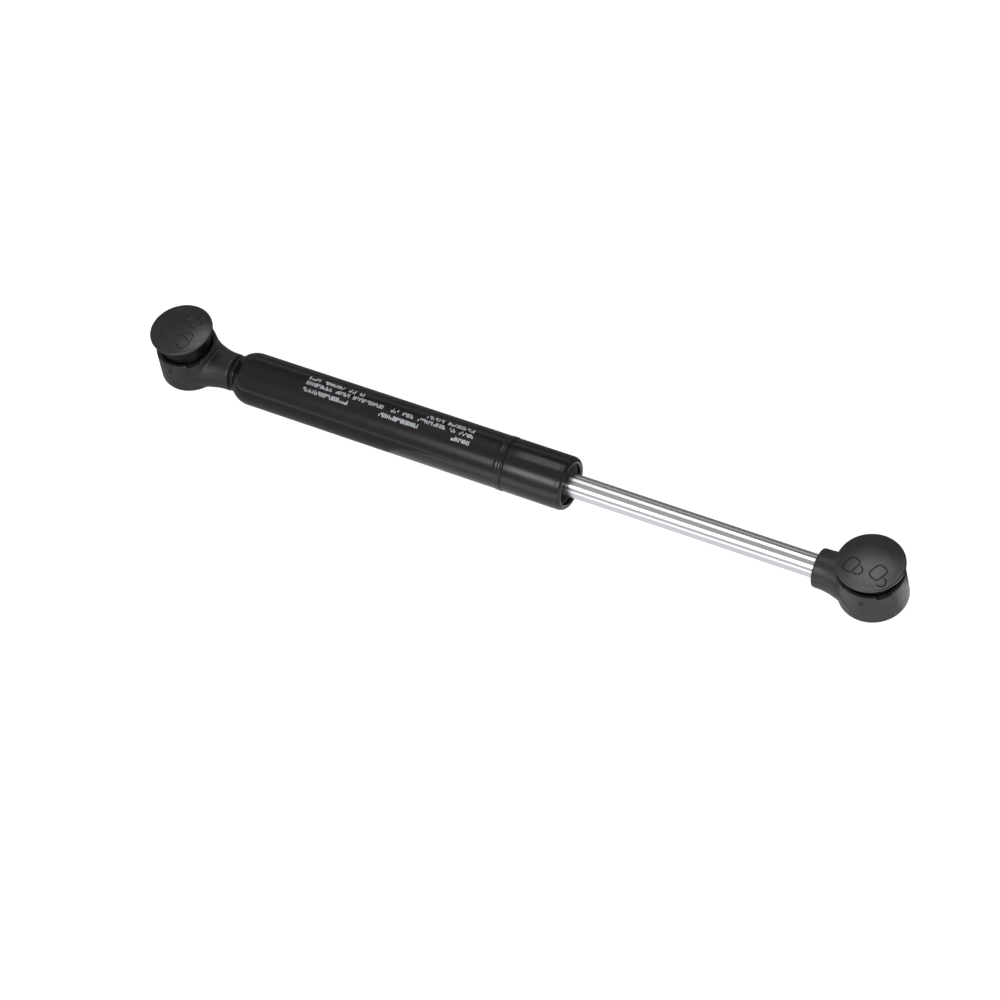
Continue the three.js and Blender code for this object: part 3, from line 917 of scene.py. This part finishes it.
def moulded_marks(rim):
    """Grooves on the dome: a shut and an open padlock, and two short dashed arcs. They hold no lettering."""
    lean = math.radians(-25)
    strokes = padlock_outline((3.9 * MM, -4.1 * MM), lean, False)
    strokes += padlock_outline((3.7 * MM, 4.9 * MM), lean, True)
    dashes = 4
    spacing = 11.0
    dash_turn = 6.0
    dash_radius = 6.8 * MM
    for middle in (139, -143):
        for i in range(dashes):
            start = middle + spacing * (i - (dashes - 1) / 2) - dash_turn / 2
            turns = np.radians(np.linspace(start, start + dash_turn, 4))
            strokes.append(([(dash_radius * math.cos(t), dash_radius * math.sin(t)) for t in turns], False))
    points = []
    faces = []
    for path, closes in strokes:
        new_points, new_faces = groove_along(path, closes, rim)
        faces += [tuple(len(points) + k for k in face) for face in new_faces]
        points += new_points
    made = mesh_object("marks", points, faces)
    outward(made)
    return made


def cup_skin(name):
    """The slotted cup that snaps over the ball."""
    ball = 5.05 * MM
    outer = cup_high.y
    seat = cup_low.z
    top = cup_high.z
    slot_half_width = 0.45 * MM
    mouth = math.degrees(math.asin(2.2 * MM / ball))
    crown = math.degrees(math.acos(2 * MM / ball))
    inner = ellipse_arc([0, 0], [ball, ball], 90 - crown, 90 + mouth, 24)
    profile = [[seat, 5.2 * MM], [seat, outer], [3.6 * MM, outer], [top, 5.6 * MM], [top, 2 * MM]]
    profile = rounded(profile, [0.3 * MM, 0.3 * MM, 0.4 * MM, 0.3 * MM, 0])
    made = lathe(name, profile + inner[1:], 128, "z")
    for degrees in (45, 135, 225, 315):
        slot_low = (3.8 * MM, -slot_half_width, seat - 0.5 * MM)
        slot_high = (8.8 * MM, slot_half_width, seat + 5.5 * MM)
        slot = box_object("slot", slot_low, slot_high)
        slot.data.transform(Matrix.Rotation(math.radians(degrees), 4, "Z"))
        combine(made, slot, "DIFFERENCE")
    shade(made, 30)
    made.data.materials.append(acetal)
    return made


# ---------------------------------------------------------------- assembly

def place(piece, body, slot, *nodes):
    """Rides the piece on its body and hides the CAD nodes it stands for. slot is not used."""
    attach(piece, body)
    if nodes:
        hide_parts(*nodes)


def build_cylinder():
    place(tube_skin(), "cylinder", "black_paint", "cylinder_tube")
    place(print_marks(), "cylinder", "black_paint")
    place(collar_skin(), "cylinder", "black_paint", "end_collar")
    place(guide_skin(), "cylinder", "dark_nylon", "rod_guide")


def build_rod():
    place(rod_skin(), "rod", "chrome_rod", "piston_rod")


def build_sockets():
    ends = (("cylinder", "cylinder", "cylinder_cap", 0.0), ("rod", "rod", "rod_cap", math.radians(90)))
    for end, body, cap_body, icon_turn in ends:
        housing = housing_skin(f"{end}_housing_skin")
        cup = cup_skin(f"{end}_cup_skin")
        cap = cap_skin(f"{end}_cap_skin", f"{end}_lock_cap", icon_turn)
        if end == "rod":
            for piece in (housing, cup, cap):
                half_turn_about_z(piece)
        place(housing, body, "black_nylon", f"{end}_socket_housing")
        place(cup, body, "white_acetal", f"{end}_ball_cup")
        place(cap, cap_body, "black_nylon", f"{end}_lock_cap")


def finish_inner_parts():
    """Gives every CAD node the finish of its slot. The ones with no piece built for them still show."""
    finishes = {
        "plain_steel": steel,
        "bush_bronze": bronze,
        "white_acetal": acetal,
        "seal_rubber": rubber,
        "black_paint": paint,
        "chrome_rod": chrome,
        "black_nylon": nylon,
        "dark_nylon": guide_black,
    }
    for part in frame["record"]["subparts"]:
        node = frame["nodes"][part["node"]]
        node.data.materials.clear()
        node.data.materials.append(finishes[part["material_slot"]])


# ---------------------------------------------------------------- studio

STRUT_MIDDLE = Vector(((cad_box[0].x + cad_box[1].x) / 2, 0, 0))


def unseen(thing, glossy_only=False):
    """Keeps a studio thing out of the picture, and in reflections alone if asked."""
    thing.visible_camera = False
    if glossy_only:
        thing.visible_diffuse = False
        thing.visible_shadow = False
        thing.visible_transmission = False
        thing.visible_volume_scatter = False
    return thing


def soft_box(name, angle, distance, across, along, middle_x, radiance):
    """A softbox beside the strut. angle is from straight up towards +Y, seen along the strut."""
    light = bpy.data.lights.new(name, "AREA")
    light.shape = "RECTANGLE"
    light.size = along
    light.size_y = across
    light.energy = radiance * math.pi * along * across
    made = bpy.data.objects.new(name, light)
    bpy.context.scene.collection.objects.link(made)
    turn = math.radians(angle)
    towards = Vector((0, math.sin(turn), math.cos(turn)))
    made.location = Vector((middle_x, 0, 0)) + distance * towards
    along_axis = Vector((1, 0, 0))
    across_axis = towards.cross(along_axis)
    made.rotation_euler = Matrix((along_axis, across_axis, towards)).transposed().to_euler()
    unseen(made)
    return made


def build_lights():
    """A long light in front with a brighter core, one above, and weak ones low in front and behind."""
    soft_box("front_box", angle=-49.5, distance=0.70, across=0.34, along=0.87, middle_x=0.245, radiance=1.6)
    soft_box("front_core", angle=-48.5, distance=0.68, across=0.17, along=0.80, middle_x=0.25, radiance=2.6)
    soft_box("top_box", angle=21, distance=1.40, across=0.72, along=0.72, middle_x=-0.01, radiance=1.6)
    soft_box("front_fill", angle=-80, distance=0.70, across=0.40, along=0.87, middle_x=0.265, radiance=0.14)
    soft_box("back_strip", angle=66, distance=0.70, across=0.20, along=1.30, middle_x=-0.05, radiance=0.34)


def build_world():
    """A dim room, a little brighter towards the front."""
    world = bpy.data.worlds.new("room")
    bpy.context.scene.world = world
    world.use_nodes = True
    tree = world.node_tree
    background = tree.nodes["Background"]
    place = tree.nodes.new("ShaderNodeTexCoord")
    parts = tree.nodes.new("ShaderNodeSeparateXYZ")
    tree.links.new(place.outputs["Generated"], parts.inputs["Vector"])
    ramp = tree.nodes.new("ShaderNodeValToRGB")
    ramp.color_ramp.elements[0].position = 0.0
    ramp.color_ramp.elements[0].color = (0.38, 0.38, 0.39, 1)
    ramp.color_ramp.elements[1].position = 1.0
    ramp.color_ramp.elements[1].color = (0.12, 0.12, 0.12, 1)
    spread = tree.nodes.new("ShaderNodeMapRange")
    spread.inputs["From Min"].default_value = 0.1
    spread.inputs["From Max"].default_value = 0.75
    tree.links.new(parts.outputs["Y"], spread.inputs["Value"])
    tree.links.new(spread.outputs["Result"], ramp.inputs["Fac"])
    tree.links.new(ramp.outputs["Color"], background.inputs["Color"])


def build_floor():
    """A sheet of pale paper, just low enough for the rod-end cap to turn upside down above it."""
    half = 3.0
    cap_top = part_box("rod_lock_cap")[1].z
    height = -cap_top - 0.5 * MM
    corners = [(-half, -half, height), (half, -half, height), (half, half, height), (-half, half, height)]
    floor = mesh_object("floor", corners, [(0, 1, 2, 3)])
    floor.data.materials.append(studio_paper())


def reflection_card(name, left, right, near, far, colour, strength):
    """A level card under the strut that only reflections meet, between two stations and two values of Y."""
    height = cad_box[0].z - 0.02 * MM
    corners = [(left, near, height), (right, near, height), (right, far, height), (left, far, height)]
    card = mesh_object(name, corners, [(0, 1, 2, 3)])
    made = Nodes(name)
    made.colour(made.between(made.noise(0.5), (0.02, 0.02, 0.02), (0.04, 0.04, 0.04)))
    made.gloss(made.spread(made.noise(0.5), 0.8, 0.95))
    made.fixed(Specular_IOR_Level=0.0, Emission_Color=(*colour, 1), Emission_Strength=strength)
    card.data.materials.append(made.material)
    unseen(card, glossy_only=True)


def build_cards():
    """A dark card behind the strut, for the dark line along its far side, and two grey ones in front."""
    reach = 1.5
    join = tube_low.x + 60 * MM
    reflection_card("back_card", -reach, reach, 13 * MM, 1.2, (1, 1, 1), 0.14)
    reflection_card("front_card", join, reach, -36 * MM, 0.0, (0.94, 0.94, 1), 0.70)
    reflection_card("front_left_card", -reach, join, -120 * MM, 0.0, (0.97, 0.97, 1), 0.30)


def build_camera():
    """Looks down at the strut from the front and the rod's side, a little rolled."""
    azimuth = math.radians(39.05)
    elevation = math.radians(52.85)
    roll = math.radians(-14.11)
    distance = 957.8 * MM
    target = STRUT_MIDDLE + Vector((-0.53, -11.33, -4.95)) * MM
    away = Vector((
        math.sin(azimuth) * math.cos(elevation),
        -math.cos(azimuth) * math.cos(elevation),
        math.sin(elevation),
    ))
    camera = bpy.data.cameras.new("camera")
    camera.sensor_width = 36
    camera.lens = 104.4
    camera.clip_start = 0.05
    camera.clip_end = 20
    made = bpy.data.objects.new("camera", camera)
    bpy.context.scene.collection.objects.link(made)
    made.location = target + distance * away
    made.rotation_mode = "QUATERNION"
    level = (-away).to_track_quat("-Z", "Y")
    made.rotation_quaternion = level @ Matrix.Rotation(roll, 3, "Z").to_quaternion()
    bpy.context.scene.camera = made


def build_studio():
    build_floor()
    build_cards()
    build_world()
    build_lights()
    build_camera()
    bpy.context.scene.view_settings.view_transform = "Standard"


build_cylinder()
build_rod()
build_sockets()
finish_inner_parts()
build_studio()
